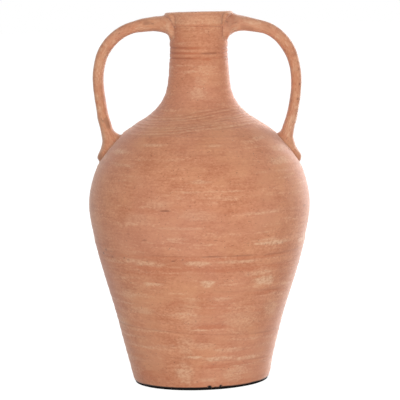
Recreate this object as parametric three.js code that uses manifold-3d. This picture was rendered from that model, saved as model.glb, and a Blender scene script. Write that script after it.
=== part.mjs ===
// Two-handled terracotta amphora on a thin base pad.
// Millimetres, +Z up, origin at the middle of the pad's underside; the handles lie along X.
//
// The pot is thrown in four sections (lower body, upper body, neck, rim collar) that butt
// together, and two pulled strap handles are luted on with a coil of clay round each root.
// Everything is modelled upright about the throwing axis. The finished points are then
// tipped by the pot's slight lean, with the foot and the rim left level.

import * as THREE from 'three';
import { mergeVertices } from 'three/addons/utils/BufferGeometryUtils.js';
import Module from 'manifold-3d';

const wasm = await Module();
wasm.setup();

// ---- driving dimensions -----------------------------------------------------------------

const TOTAL_HEIGHT = 500;
const PAD_THICKNESS = 3;
const PAD_RADIUS = 90.5;
const FLOOR_THICKNESS = 10;
const BODY_WALL = 8;
const NECK_WALL = 6.5;

const LEAN = Math.tan(THREE.MathUtils.degToRad(1.5)); // the axis tips this much towards +X
const FOOT_SHIFT = 1.6; // the body stands this far to -X of the pad
const LEVEL_FOOT_TOP = 40; // the lean fades in between the pad and this height
const LEVEL_RIM_BOTTOM = 470; // and fades out between this height and the rim,
const LEVEL_RIM_REACH = 47; // but only within the lip: the handles keep the lean,
const LEAN_HANDLE_REACH = 60; // which is whole again at this distance from the axis

const CLEARANCE = 0.35; // between handles, coils and the vessel
const SEGMENTS = 48; // round the throwing axis
const LONG_SPAN = 22; // profile points further apart than this get one more ring between them
const OVAL_POINTS = 16; // round a strap or a coil
const OVAL_POWER = 0.82; // below 1 squares the oval a little

// Outer profile of each thrown section, as [radius, height] on the throwing axis. A section
// starts at the point where the one below it ends.
const LOWER_BODY = [
  [91.6, PAD_THICKNESS], [93, 7], [94.8, 14], [97.8, 28], [105.8, 60], [114.6, 94], [124.5, 127],
  [135.6, 165], [139.5, 180],
];
const UPPER_BODY = [
  [139.5, 180], [142.2, 192.5], [147.9, 223], [149.3, 242], [148, 258], [144.4, 274.5], [138.8, 291],
  [129.2, 309], [117.6, 323.5], [104, 336.8], [84.2, 351],
];
const NECK = [
  [84.2, 351], [68.2, 361], [54.7, 373.5], [47, 385.7], [43, 398], [40.6, 416], [39.2, 440], [39, 460],
  [39.6, 480],
];
const COLLAR = [[39.6, 480], [41.2, 481.6], [42.6, 488], [44.4, 493], [46.4, 496.6]];
const LIP_TOP = [[46.2, 498.9], [44.4, TOTAL_HEIGHT], [37, TOTAL_HEIGHT], [34.4, 498.6], [33.3, 494.5]];

// Handles in their own plane, as [distance from the throwing axis, height].
const SPINE_LEFT = [
  [24, 485.8], [45, 485.6], [60, 484.4], [83, 480.6], [96.8, 475.9], [109.7, 468.2], [121.2, 457.1],
  [130.1, 442.3], [135.5, 420], [135.6, 397], [131.1, 366], [126.2, 344], [121.5, 322], [114, 296],
];
const SPINE_RIGHT = [
  [24, 485.6], [45, 485.1], [61, 483.7], [84, 479.7], [96.2, 475.1], [107.7, 467.2], [117.8, 455.7],
  [125.6, 441.1], [130.7, 419], [131, 396], [126.6, 365], [122, 343], [118.8, 322], [113, 296],
];
// Strap thickness down the side, round the bend and at the neck.
const STRAP_LEFT = { side: 15, bend: 16.4, root: 19 };
const STRAP_RIGHT = { side: 14.4, bend: 17.2, root: 17.8 };
const BEND_HEIGHTS = [420, 458]; // the side's thickness eases to the bend's between these heights
const ROOT_REACHES = [45, 88]; // the root's thickness eases to the bend's between these distances
const STRAP_WIDTH = 27;
const STRAP_STEPS = 34;

// Coils round the handle roots: each row is [near edge, far edge, half width], in the order
// that the strap runs: out of the neck, and later down into the shoulder.
const COIL_UPPER = [
  [[32, 456], [33, 496.5], 23.5],
  [[40, 462.8], [42, 497], 23],
  [[43, 468.2], [46.5, 496.8], 21],
  [[48, 471.8], [52, 495.2], 18.4],
  [[57, 473.8], [58.6, 494.2], 16],
  [[66, 473.8], [66.6, 492.8], 14.8],
];
const COIL_LOWER_LEFT = [
  [[118.6, 348.4], [133.4, 342], 14.8],
  [[116.2, 341.6], [131.6, 333], 15.8],
  [[112.2, 337.6], [131, 325.5], 17],
  [[107, 335], [133.2, 316], 18.5],
  [[101, 333], [137.8, 304.5], 19.5],
  [[92, 326], [133, 292], 19.5],
];
const COIL_LOWER_RIGHT = [
  [[114, 348], [128.2, 341.6], 14.8],
  [[111.6, 341.2], [127.2, 333.4], 15.8],
  [[108.6, 337.4], [128.6, 325.6], 17],
  [[105, 335.2], [132, 316.4], 18.5],
  [[100, 333], [138.6, 304.6], 19.5],
  [[92, 326], [134, 292], 19.5],
];

// ---- the lean ---------------------------------------------------------------------------

const smooth = (from, to, value) => THREE.MathUtils.smoothstep(value, from, to);

// Tips a point about the foot. Away from the foot and the rim this is a plain rotation.
function lean(x, z) {
  const tipped = smooth(PAD_THICKNESS, LEVEL_FOOT_TOP, z);
  const inLip = 1 - smooth(LEVEL_RIM_REACH, LEAN_HANDLE_REACH, Math.abs(x));
  const tilt = tipped * (1 - inLip * smooth(LEVEL_RIM_BOTTOM, TOTAL_HEIGHT, z));
  return [x + (z - PAD_THICKNESS) * LEAN - FOOT_SHIFT * tipped, z - x * LEAN * tilt];
}

function leaned(geometry) {
  const position = geometry.attributes.position;
  for (let i = 0; i < position.count; i += 1) {
    const [x, z] = lean(position.getX(i), position.getZ(i));
    position.setX(i, x);
    position.setZ(i, z);
  }
  geometry.computeVertexNormals();
  return geometry;
}

// ---- solids -----------------------------------------------------------------------------

function smoothCurve(points) {
  return new THREE.CatmullRomCurve3(points.map(([reach, height]) => new THREE.Vector3(reach, height, 0)));
}

// Keeps only the position, with shared corners merged.
function welded(geometry) {
  geometry.deleteAttribute('normal');
  geometry.deleteAttribute('uv');
  return mergeVertices(geometry, 1e-4);
}

// Turns a closed [radius, height] outline about the throwing axis.
function turned(outline) {
  const points = outline.map(([radius, height]) => new THREE.Vector2(radius, height));
  return welded(new THREE.LatheGeometry(points, SEGMENTS).rotateX(Math.PI / 2));
}

// Skins a list of rings, each with the same number of points, and closes both ends.
function skinned(rings) {
  const count = rings[0].length;
  const points = rings.flat();
  const faces = [];
  for (let ring = 0; ring + 1 < rings.length; ring += 1) {
    for (let i = 0; i < count; i += 1) {
      const a = ring * count + i;
      const b = ring * count + ((i + 1) % count);
      faces.push(a, b + count, b, a, a + count, b + count);
    }
  }
  const last = (rings.length - 1) * count;
  for (let i = 1; i + 1 < count; i += 1) {
    faces.push(0, i, i + 1, last, last + i + 1, last + i);
  }
  const geometry = new THREE.BufferGeometry().setFromPoints(points);
  geometry.setIndex(faces);
  return geometry;
}

// An oval across the handle plane, from one in-plane edge to the other.
function oval(near, far, halfWidth, side) {
  const middle = near.clone().add(far).multiplyScalar(0.5);
  const half = far.clone().sub(near).multiplyScalar(0.5);
  const ring = [];
  for (let i = 0; i < OVAL_POINTS; i += 1) {
    const angle = (i / OVAL_POINTS) * 2 * Math.PI;
    const along = Math.sign(Math.cos(angle)) * Math.abs(Math.cos(angle)) ** OVAL_POWER;
    const across = Math.sign(Math.sin(angle)) * Math.abs(Math.sin(angle)) ** OVAL_POWER;
    const reach = middle.x + half.x * along;
    ring.push(new THREE.Vector3(side * reach, side * halfWidth * across, middle.y + half.y * along));
  }
  return ring;
}

function toManifold(geometry) {
  const mesh = welded(geometry);
  return new wasm.Manifold(new wasm.Mesh({
    numProp: 3,
    vertProperties: Float32Array.from(mesh.attributes.position.array),
    triVerts: Uint32Array.from(mesh.index.array),
  }));
}

function fromManifold(solid) {
  const mesh = solid.getMesh();
  const geometry = new THREE.BufferGeometry();
  geometry.setAttribute('position', new THREE.BufferAttribute(mesh.vertProperties, 3));
  geometry.setIndex(new THREE.BufferAttribute(mesh.triVerts, 1));
  return geometry;
}

// ---- thrown sections --------------------------------------------------------------------

// The outside of the pot is one smooth curve through every section's points.
const wallPoints = [...LOWER_BODY, ...UPPER_BODY.slice(1), ...NECK.slice(1)];
const wallCurve = smoothCurve(wallPoints);

// The points where that curve is sampled: every section point and the middle of each long span.
function wallSamples(first, last) {
  const samples = [];
  for (let i = first; i < last; i += 1) {
    samples.push(i);
    const [a, b] = [wallPoints[i], wallPoints[i + 1]];
    if (Math.hypot(a[0] - b[0], a[1] - b[1]) > LONG_SPAN) samples.push(i + 0.5);
  }
  samples.push(last);
  return samples;
}

// A point on the curve moved along its normal, outwards when offset is above 0.
function wallPoint(index, offset = 0) {
  const t = index / (wallPoints.length - 1);
  const point = wallCurve.getPoint(t);
  const tangent = wallCurve.getTangent(t);
  return [point.x + tangent.y * offset, point.y - tangent.x * offset];
}

const lowerEnd = LOWER_BODY.length - 1;
const upperEnd = lowerEnd + UPPER_BODY.length - 1;
const neckEnd = upperEnd + NECK.length - 1;

// Wall thickness, easing from the body's to the neck's over the shoulder.
function wallAt(index) {
  return THREE.MathUtils.lerp(BODY_WALL, NECK_WALL, smooth(lowerEnd, upperEnd, index));
}

// The neck ends on a level face, so its last inside point is straight in from the outside one.
function insidePoint(index) {
  const [radius, height] = NECK.at(-1);
  return index === neckEnd ? [radius - NECK_WALL, height] : wallPoint(index, -wallAt(index));
}

function basePad() {
  return turned([[0, 0], [PAD_RADIUS, 0], [PAD_RADIUS, PAD_THICKNESS], [0, PAD_THICKNESS], [0, 0]]);
}

function lowerBody() {
  const floor = PAD_THICKNESS + FLOOR_THICKNESS;
  const samples = wallSamples(0, lowerEnd);
  const outside = samples.map((index) => wallPoint(index));
  const inside = samples.map(insidePoint).filter(([, height]) => height > floor + BODY_WALL);
  const corner = [[inside[0][0] - BODY_WALL, floor], [0, floor]];
  return turned([[0, PAD_THICKNESS], ...outside, ...inside.reverse(), ...corner, [0, PAD_THICKNESS]]);
}

function tube(first, last) {
  const samples = wallSamples(first, last);
  const outside = samples.map((index) => wallPoint(index));
  const inside = samples.map(insidePoint).reverse();
  return turned([...outside, ...inside, outside[0]]);
}

function rimCollar() {
  return turned([...COLLAR, ...LIP_TOP, insidePoint(neckEnd), COLLAR[0]]);
}

// The whole vessel's outside as one block, grown by the clearance, for cutting the handles.
function vesselBlock() {
  const grown = wallSamples(0, neckEnd).map((index) => wallPoint(index, CLEARANCE));
  const collar = [...COLLAR.slice(1), ...LIP_TOP.slice(0, 2)];
  const grownCollar = collar.map(([radius, height]) => [radius + CLEARANCE, height]);
  const top = TOTAL_HEIGHT + CLEARANCE;
  return toManifold(turned([[0, 0], [grown[0][0], 0], ...grown, ...grownCollar, [0, top], [0, 0]]));
}

// ---- handles and coils ------------------------------------------------------------------

function strapThickness({ side, bend, root }, point) {
  const upTheSide = THREE.MathUtils.lerp(side, bend, smooth(...BEND_HEIGHTS, point.y));
  const isTop = point.y > BEND_HEIGHTS[1];
  return isTop ? THREE.MathUtils.lerp(root, upTheSide, smooth(...ROOT_REACHES, point.x)) : upTheSide;
}

// The strap swept along its spine; extra grows it on every side.
function strap(spine, thickness, side, extra = 0) {
  const curve = smoothCurve(spine);
  const rings = [];
  for (let step = 0; step <= STRAP_STEPS; step += 1) {
    const point = curve.getPointAt(step / STRAP_STEPS);
    const tangent = curve.getTangentAt(step / STRAP_STEPS);
    const normal = new THREE.Vector3(-tangent.y, tangent.x, 0);
    const half = strapThickness(thickness, point) / 2 + extra;
    const near = point.clone().addScaledVector(normal, -half);
    const far = point.clone().addScaledVector(normal, half);
    rings.push(oval(near, far, STRAP_WIDTH / 2 + extra, side));
  }
  return toManifold(skinned(rings));
}

function coil(rows, side) {
  const rings = rows.map(([near, far, halfWidth]) => (
    oval(new THREE.Vector2(...near), new THREE.Vector2(...far), halfWidth, side)
  ));
  return toManifold(skinned(rings));
}

// ---- the object -------------------------------------------------------------------------

const finish = (color, roughness) => new THREE.MeshStandardMaterial({ color, roughness, metalness: 0 });
const terracotta = (colour) => finish(colour, 0.85);
const padFelt = finish(0x14110f, 0.95);

const amphora = new THREE.Group();

function addPiece(name, geometry, material) {
  const piece = new THREE.Mesh(leaned(geometry), material);
  piece.name = name;
  amphora.add(piece);
}

addPiece('base_pad', basePad(), padFelt);
addPiece('lower_body', lowerBody(), terracotta(0xc68663));
addPiece('upper_body', tube(lowerEnd, upperEnd), terracotta(0xce8f6c));
addPiece('neck', tube(upperEnd, neckEnd), terracotta(0xc88b66));
addPiece('rim_collar', rimCollar(), terracotta(0xcc977d));

const vessel = vesselBlock();

for (const [name, side, spine, thickness, lowerRows] of [
  ['left', -1, SPINE_LEFT, STRAP_LEFT, COIL_LOWER_LEFT],
  ['right', 1, SPINE_RIGHT, STRAP_RIGHT, COIL_LOWER_RIGHT],
]) {
  const handle = strap(spine, thickness, side).subtract(vessel);
  const cutter = strap(spine, thickness, side, CLEARANCE).add(vessel);
  const upperCoil = coil(COIL_UPPER, side).subtract(cutter);
  const lowerCoil = coil(lowerRows, side).subtract(cutter);
  addPiece(`handle_${name}`, fromManifold(handle), terracotta(0xce9375));
  addPiece(`root_coil_upper_${name}`, fromManifold(upperCoil), terracotta(0xc98e6f));
  addPiece(`root_coil_lower_${name}`, fromManifold(lowerCoil), terracotta(0xc98e6f));
}

export default amphora;
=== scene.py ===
"""Looks for the terracotta amphora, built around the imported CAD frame.

Every CAD node gets one finer piece that stands for it. The vessel's sections are turned from
the CAD part's own profile, and the straps and coils are lofted through its own rows, with
hand-made unevenness, throwing ridges, grooves and creases as real relief. Colour comes from
one procedural terracotta material, which reads a few attributes stored on the vertices.
"""

import math

import bpy
import numpy as np
from mathutils import Matrix, Vector
from mathutils.bvhtree import BVHTree


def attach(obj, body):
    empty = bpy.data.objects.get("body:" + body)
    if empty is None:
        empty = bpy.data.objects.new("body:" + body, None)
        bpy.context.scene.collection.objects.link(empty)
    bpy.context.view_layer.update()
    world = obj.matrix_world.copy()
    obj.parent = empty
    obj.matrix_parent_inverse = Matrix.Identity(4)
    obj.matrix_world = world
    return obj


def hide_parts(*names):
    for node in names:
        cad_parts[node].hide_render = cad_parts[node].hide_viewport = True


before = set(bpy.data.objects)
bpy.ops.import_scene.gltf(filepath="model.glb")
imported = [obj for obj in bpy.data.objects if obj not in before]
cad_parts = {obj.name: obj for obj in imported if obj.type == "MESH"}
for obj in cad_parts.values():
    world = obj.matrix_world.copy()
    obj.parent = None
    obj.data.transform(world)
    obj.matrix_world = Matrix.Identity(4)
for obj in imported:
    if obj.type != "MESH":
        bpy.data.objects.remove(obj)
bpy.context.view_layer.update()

# ---- dimensions, the same as the CAD part's, in metres unless a comment says mm ---

MM = 0.001
PAD_THICKNESS = 3 * MM
PAD_RADIUS = 90.5 * MM
PAD_EDGE = 0.7 * MM  # the radius of its rounded edge
PAD_RINGS = (8, 30, 60, 84)  # radii in mm of the rings of its flat faces
FLOOR_TOP = 13 * MM
HUB_RADIUS = 2 * MM  # the innermost ring of the floor, round its pole
BODY_WALL = 8 * MM
NECK_WALL = 6.5 * MM

# The pot leans towards +X, while its foot and rim stay level.
LEAN = math.tan(math.radians(1.5))
FOOT_SHIFT = 1.6 * MM
LEVEL_FOOT_TOP = 40 * MM
LEVEL_RIM_BOTTOM = 470 * MM
TOTAL_HEIGHT = 500 * MM
LEVEL_RIM_REACH = 47 * MM
LEAN_HANDLE_REACH = 60 * MM

BELLY_JOINT = 180 * MM
NECK_JOINT = 351 * MM
COLLAR_JOINT = 480 * MM

# Outlines of the outside, as (radius, height) in mm.
LOWER_BODY = [
    (91.6, 3), (93, 7), (94.8, 14), (97.8, 28), (105.8, 60), (114.6, 94), (124.5, 127),
    (135.6, 165), (139.5, 180),
]
UPPER_BODY = [
    (139.5, 180), (142.2, 192.5), (147.9, 223), (149.3, 242), (148, 258), (144.4, 274.5),
    (138.8, 291), (129.2, 309), (117.6, 323.5), (104, 336.8), (84.2, 351),
]
NECK = [
    (84.2, 351), (68.2, 361), (54.7, 373.5), (47, 385.7), (43, 398), (40.6, 416), (39.2, 440),
    (39, 460), (39.6, 480),
]
COLLAR = [(39.6, 480), (41.2, 481.6), (42.6, 488), (44.4, 493), (46.4, 496.6)]
LIP = [(46.4, 496.6), (46.2, 498.9), (44.4, 500), (37, 500), (34.4, 498.6), (33.3, 494.5)]

# The straps' middle lines, as (reach from the axis, height) in mm.
SPINE_LEFT = [
    (24, 485.8), (45, 485.6), (60, 484.4), (83, 480.6), (96.8, 475.9), (109.7, 468.2),
    (121.2, 457.1), (130.1, 442.3), (135.5, 420), (135.6, 397), (131.1, 366), (126.2, 344),
    (121.5, 322), (114, 296),
]
SPINE_RIGHT = [
    (24, 485.6), (45, 485.1), (61, 483.7), (84, 479.7), (96.2, 475.1), (107.7, 467.2),
    (117.8, 455.7), (125.6, 441.1), (130.7, 419), (131, 396), (126.6, 365), (122, 343),
    (118.8, 322), (113, 296),
]
# The straps' thickness in mm down the side, at the bend and at the root. One passes into the
# next between these heights and these reaches, in mm.
STRAP_LEFT = {"side": 15, "bend": 16.4, "root": 19}
STRAP_RIGHT = {"side": 14.4, "bend": 17.2, "root": 17.8}
BEND_HEIGHTS = (420, 458)
ROOT_REACHES = (45, 88)
STRAP_HALF_WIDTH = 13.5  # mm
STRAP_START = 34 * MM
PROUD = 0.25  # mm that a coil's thin end stands out of the strap
BURIED = -0.7  # mm that the coil's very last row is sunk into it
GRAIN_GAP = 0.9

# Coil rows in mm: near edge, far edge, half width, in the order that the strap runs.
COIL_UPPER = [
    ((32, 456), (33, 496.5), 23.5), ((40, 462.8), (42, 497), 23), ((43, 468.2), (46.5, 496.8), 21),
    ((48, 471.8), (52, 495.2), 18.4), ((57, 473.8), (58.6, 494.2), 16),
    ((66, 473.8), (66.6, 492.8), 14.8),
]
COIL_LOWER_LEFT = [
    ((118.6, 348.4), (133.4, 342), 14.8), ((116.2, 341.6), (131.6, 333), 15.8),
    ((112.2, 337.6), (131, 325.5), 17), ((107, 335), (133.2, 316), 18.5),
    ((101, 333), (137.8, 304.5), 19.5), ((92, 326), (133, 292), 19.5),
]
COIL_LOWER_RIGHT = [
    ((114, 348), (128.2, 341.6), 14.8), ((111.6, 341.2), (127.2, 333.4), 15.8),
    ((108.6, 337.4), (128.6, 325.6), 17), ((105, 335.2), (132, 316.4), 18.5),
    ((100, 333), (138.6, 304.6), 19.5), ((92, 326), (134, 292), 19.5),
]
OVAL_POWER = 0.82  # below 1, which makes the ovals a little square
SUNK = 4.6 * MM  # how far straps and coils reach into the vessel's wall

# ---- how fine the meshes are -------------------------------------------------

BODY_SEGMENTS = 384
NECK_SEGMENTS = 256
PAD_SEGMENTS = 256
BODY_STEP = 1.05 * MM
NECK_STEP = 0.75 * MM
LIP_STEP = 0.5 * MM
INSIDE_STEP = 4 * MM
STRAP_STEP = 1.3 * MM
COIL_STEP = 1 * MM
OVAL_POINTS = 64
CORNER_ANGLE = math.radians(50)  # edges that turn more than this are left crisp
BATCH = 4000  # points compared with the wall at a time, to save memory
SEARCH_MARGIN = 12 * MM  # the wall further than this from a coil isn't marked by it
FAR = 50 * MM  # stands for any distance beyond that margin

# ---- light and camera --------------------------------------------------------

WHITE = (1, 1, 1, 1)
FLOOR_GREY = (0.9, 0.9, 0.9, 1)
FLOOR_HALF_SIZE = 30
FLOOR_DROP = 0.2 * MM
FLOOR_GLOW = 0.8  # the share of the floor's shading that is glow
FLOOR_SEEN = 1.22  # the glow's strength for the camera
FLOOR_BOUNCE = 0.62  # and for the light that reaches the pot
FILL_LEFT = 0.36  # strength of the even light from each side
FILL_RIGHT = 0.4
BACKDROP = 1.5  # and what is added to it from behind the pot
CAMERA_PLACE = (0.00534, -2.9, 0.5234)
CAMERA_DOWN = math.radians(5.482)
CAMERA_ROLL = math.radians(-1.831)
CAMERA_LENS = 192.97  # mm, as is the sensor's width
CAMERA_SENSOR = 36


# ---- curves and noise --------------------------------------------------------

def smoothstep(low, high, value):
    """0 up to low, 1 from high on, and an even S-curve between them."""
    t = np.clip((value - low) / (high - low), 0, 1)
    return t * t * (3 - 2 * t)


def bell(value, centre, width):
    """1 at centre, falling to about a third at width on either side."""
    return np.exp(-(((value - centre) / width) ** 2))


def dense(points, per_span=40):
    """A centripetal Catmull-Rom curve through points (any dimension), densely sampled."""
    p = np.asarray(points, float)
    p = np.vstack([2 * p[0] - p[1], p, 2 * p[-1] - p[-2]])
    out = []
    for a, b, c, d in zip(p[:-3], p[1:-2], p[2:-1], p[3:]):
        k1, k2, k3 = (max(np.linalg.norm(v), 1e-9) ** 0.5 for v in (b - a, c - b, d - c))
        t1 = ((b - a) / k1 - (c - a) / (k1 + k2) + (c - b) / k2) * k2
        t2 = ((c - b) / k2 - (d - b) / (k2 + k3) + (d - c) / k3) * k2
        t = np.linspace(0, 1, per_span, endpoint=False)[:, None]
        cubic = 2 * b - 2 * c + t1 + t2
        square = -3 * b + 3 * c - 2 * t1 - t2
        out.append(cubic * t**3 + square * t**2 + t1 * t + b)
    out.append(p[-2:-1])
    return np.vstack(out)


def lengths(points):
    """How far along the line each point is."""
    return np.concatenate([[0], np.cumsum(np.linalg.norm(np.diff(points, axis=0), axis=1))])


def stepped(points, step):
    """The same line, resampled evenly about every step."""
    along = lengths(points)
    count = max(2, int(round(along[-1] / step)) + 1)
    at = np.linspace(0, along[-1], count)
    return np.column_stack([np.interp(at, along, points[:, i]) for i in range(points.shape[1])])


def right_normals(points):
    """Unit normals to the right of the direction of travel, for (reach, height) lines."""
    tangent = np.gradient(points, axis=0)
    tangent /= np.linalg.norm(tangent, axis=1)[:, None]
    return np.column_stack([tangent[:, 1], -tangent[:, 0]])


def ripple(u, v, across, up, seed):
    """Smooth noise from -1 to 1. u wraps at 1 over `across` cells, v has `up` cells from 0 to 1."""
    grid = np.random.default_rng(seed).uniform(-1, 1, (across, up + 2))
    a = (u % 1) * across
    b = np.clip(v, 0, 1) * up
    i, j = np.floor(a).astype(int) % across, np.floor(b).astype(int)
    s, t = smoothstep(0, 1, a - np.floor(a)), smoothstep(0, 1, b - np.floor(b))
    k = (i + 1) % across
    low = grid[i, j] * (1 - s) + grid[k, j] * s
    high = grid[i, j + 1] * (1 - s) + grid[k, j + 1] * s
    return low * (1 - t) + high * t


def waver(u, level, across, seed):
    """Noise that changes along u alone: one level of a ripple that is a single cell high."""
    return ripple(u, level + 0 * u, across, 1, seed)


# ---- the lean ----------------------------------------------------------------

def leaned(points):
    """Pot coordinates to the row frame."""
    x, y, z = points[:, 0], points[:, 1], points[:, 2]
    tipped = smoothstep(PAD_THICKNESS, LEVEL_FOOT_TOP, z)
    in_lip = 1 - smoothstep(LEVEL_RIM_REACH, LEAN_HANDLE_REACH, np.abs(x))
    tilt = tipped * (1 - in_lip * smoothstep(LEVEL_RIM_BOTTOM, TOTAL_HEIGHT, z))
    return np.column_stack([
        x + (z - PAD_THICKNESS) * LEAN - FOOT_SHIFT * tipped, y, z - x * LEAN * tilt
    ])


# ---- the vessel's surface ----------------------------------------------------
# Angles run from 0 at the front (-Y) to plus or minus pi at the back, positive towards +X.

WALL = dense(np.array(LOWER_BODY + UPPER_BODY[1:] + NECK[1:]) * MM)
WALL_NORMALS = right_normals(WALL)
RIM = dense(np.array(COLLAR + LIP[1:]) * MM)
OUTSIDE = np.vstack([WALL, RIM[1:]])
OUTSIDE_NORMALS = right_normals(OUTSIDE)


SHOULDER_HEIGHTS = (344, 347, 350.2, 352.6, 355.2, 358.6, 362, 366.5)
# Lines round the neck as (height, depth, half width) in mm: three strong ones, then fainter ones.
NECK_LINES = (
    (451.9, 0.8, 1.2), (444.9, 0.9, 1.3), (438.4, 0.9, 1.2), (477.9, 0.25, 0.9), (474.6, 0.25, 0.9),
    (461, 0.25, 1.2), (433.5, 0.4, 1.0), (415, 0.25, 1.5), (448.8, 0.4, 0.7), (441.2, 0.45, 0.7),
)
# Chips in the foot's edge as (angle in degrees, half width in degrees).
CHIPS = ((6.5, 1.6), (15.8, 1.2), (-104, 1.8), (141, 1.5))
FLANK_EDGE = 50  # degrees from the front or back to where the collar's flanks begin


def neck_line(angle, z, k, width):
    """The line of NECK_LINES with index k, at a half width in mm."""
    return ring_groove(angle, z, NECK_LINES[k][0] * MM, width * MM, 0.7 * MM, 20 + 2 * k, 0.5)


def ring_groove(angle, z, height, width, wander, seed, gaps=0.0):
    """An incised line round the pot: 1 in its middle, wavering in height and strength."""
    u = angle / (2 * math.pi)
    level = height + wander * waver(u, 0.3, 9, seed)
    strength = 1 - gaps * smoothstep(-0.2, 0.7, waver(u, 0.6, 14, seed + 1))
    return strength * bell(z, level, width)


def shoulder_lines(angle, z):
    """The tilted strands scored round the shoulder, and the crests between them."""
    total = 0 * z
    crest = 0 * z
    for k, height in enumerate(SHOULDER_HEIGHTS):
        tilted = (height + 4.8 * np.sin(angle) + 2.4 * np.sin(2 * angle)) * MM
        u = angle / (2 * math.pi)
        level = tilted + 1.3 * MM * waver(u, 0.5, 17, 40 + k)
        strength = 0.3 + 0.55 * smoothstep(-0.5, 0.7, waver(u, 0.2, 11, 50 + k))
        total = total + strength * bell(z, level, 0.8 * MM)
        crest = crest + strength * bell(z, level + 1.5 * MM, 0.7 * MM)
    return np.clip(total, 0, 1), np.clip(crest, 0, 1)


def angle_window(angle, low, high, soft=8):
    """1 between two angles in degrees, fading over `soft` degrees."""
    a = np.degrees(angle)
    return smoothstep(low - soft, low, a) * (1 - smoothstep(high, high + soft, a))


def creases(angle, z):
    """Deeper irregular creases: the belly's join, and the lines below it."""
    u = angle / (2 * math.pi)
    shift = 0.8 * MM * waver(u, 0.4, 16, 71)
    broken = 0.45 + 0.55 * smoothstep(-0.5, 0.4, waver(u, 0.7, 23, 72))
    upper = bell(z, 184 * MM + shift, 1.2 * MM) * (1 - 0.8 * angle_window(angle, -180, -32))
    lower = bell(z, 177.4 * MM - shift, 1.2 * MM) * (1 - 0.75 * angle_window(angle, 5, 95))
    belt = bell(z, (137 - 4 * np.sin(angle)) * MM, 1.1 * MM) * angle_window(angle, 12, 54)
    foot = bell(z, (78.3 - 5.4 * np.sin(angle)) * MM + shift * 0.5, 1.0 * MM)
    low_band = bell(z, (42.4 - 5.5 * np.sin(angle)) * MM, 0.9 * MM) * angle_window(angle, -18, 60)
    lines = {"upper": upper, "lower": lower, "belt": belt, "foot": foot, "band": low_band}
    return {key: line * broken for key, line in lines.items()}


def collar_flanks(angle, z):
    """Where the roots' clay was smeared up the collar's flanks, and the seam where it stops."""
    from_middle = np.degrees(np.arcsin(np.abs(np.sin(angle))))
    from_middle = from_middle + 1.5 * ripple(angle / (2 * math.pi), z / TOTAL_HEIGHT, 4, 60, 95)
    band = smoothstep(481.5 * MM, 484 * MM, z) * (1 - smoothstep(496.5 * MM, 499 * MM, z))
    flank = smoothstep(FLANK_EDGE, FLANK_EDGE + 7, from_middle)
    return band * flank, band * bell(from_middle, FLANK_EDGE, 2.2)


def collar_line(angle, z):
    """The faint broken line under the collar."""
    return ring_groove(angle, z, 480.7 * MM, 0.8 * MM, 0.25 * MM, 60, 0.6)


def relief(angle, z):
    """How far the outside stands out from the plain turned shape, in metres."""
    u, v = angle / (2 * math.pi), z / TOTAL_HEIGHT
    on_body = 1 - smoothstep(350 * MM, 385 * MM, z)
    out = (0.25 + 0.45 * on_body) * MM * ripple(u, v, 5, 6, 1)
    out = out + 0.22 * MM * ripple(u, v, 11, 17, 2)
    turn = z / (11.5 * MM) + u
    out = out + 0.16 * MM * np.sin(2 * math.pi * turn) * (0.6 + 0.6 * ripple(u, v, 6, 12, 3))
    finer = z / (4.6 * MM) + u
    out = out + 0.09 * MM * np.sin(2 * math.pi * finer) * (0.5 + 0.8 * ripple(u, v, 9, 25, 4))
    out = out + 0.10 * MM * ripple(u, v, 7, 160, 5)
    out = out + 0.05 * MM * ripple(u, v, 60, 220, 6)
    for k, (_, depth, width) in enumerate(NECK_LINES):
        out = out - depth * MM * neck_line(angle, z, k, width)
    out = out - 0.45 * MM * collar_line(angle, z)
    flank, seam = collar_flanks(angle, z)
    out = out + (0.5 * flank - 0.6 * seam) * MM
    out = out - 2.4 * MM * (1 - flank) * bell(z, 493 * MM, 5.5 * MM)
    scored, crest = shoulder_lines(angle, z)
    out = out - 0.36 * MM * scored + 0.12 * MM * crest
    c = creases(angle, z)
    out = out - 0.5 * MM * c["upper"] - 0.42 * MM * c["lower"] - 0.35 * MM * c["belt"]
    out = out - 0.6 * MM * c["foot"] - 0.45 * MM * c["band"]
    # A slight shelf where the belly was joined: it stands out just above the crease.
    out = out + 0.45 * MM * bell(z, 190 * MM, 7 * MM)
    # The small nick on the belly, and chips at the foot.
    nick = bell(z, 244.6 * MM, 1.3 * MM) * angle_window(angle, -20.5, -15.5, 2)
    out = out - 0.8 * MM * nick
    for place, size in CHIPS:
        chip = bell(np.degrees(angle), place, size) * bell(z, 3.5 * MM, 2.4 * MM)
        out = out - 1.5 * MM * chip
    return out


def inside_relief(angle, z):
    """Finger ridges left on the inside."""
    u, v = angle / (2 * math.pi), z / TOTAL_HEIGHT
    turn = z / (14 * MM) + u
    ridges = 0.35 * MM * np.sin(2 * math.pi * turn) * (0.7 + 0.4 * ripple(u, v, 5, 9, 11))
    return ridges + 0.2 * MM * ripple(u, v, 7, 14, 12)


# ---- stains and patches, with painted shade and highlights, as attributes ----
# Each patch is (angle, height, half width in degrees, half height in mm, strength).

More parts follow.
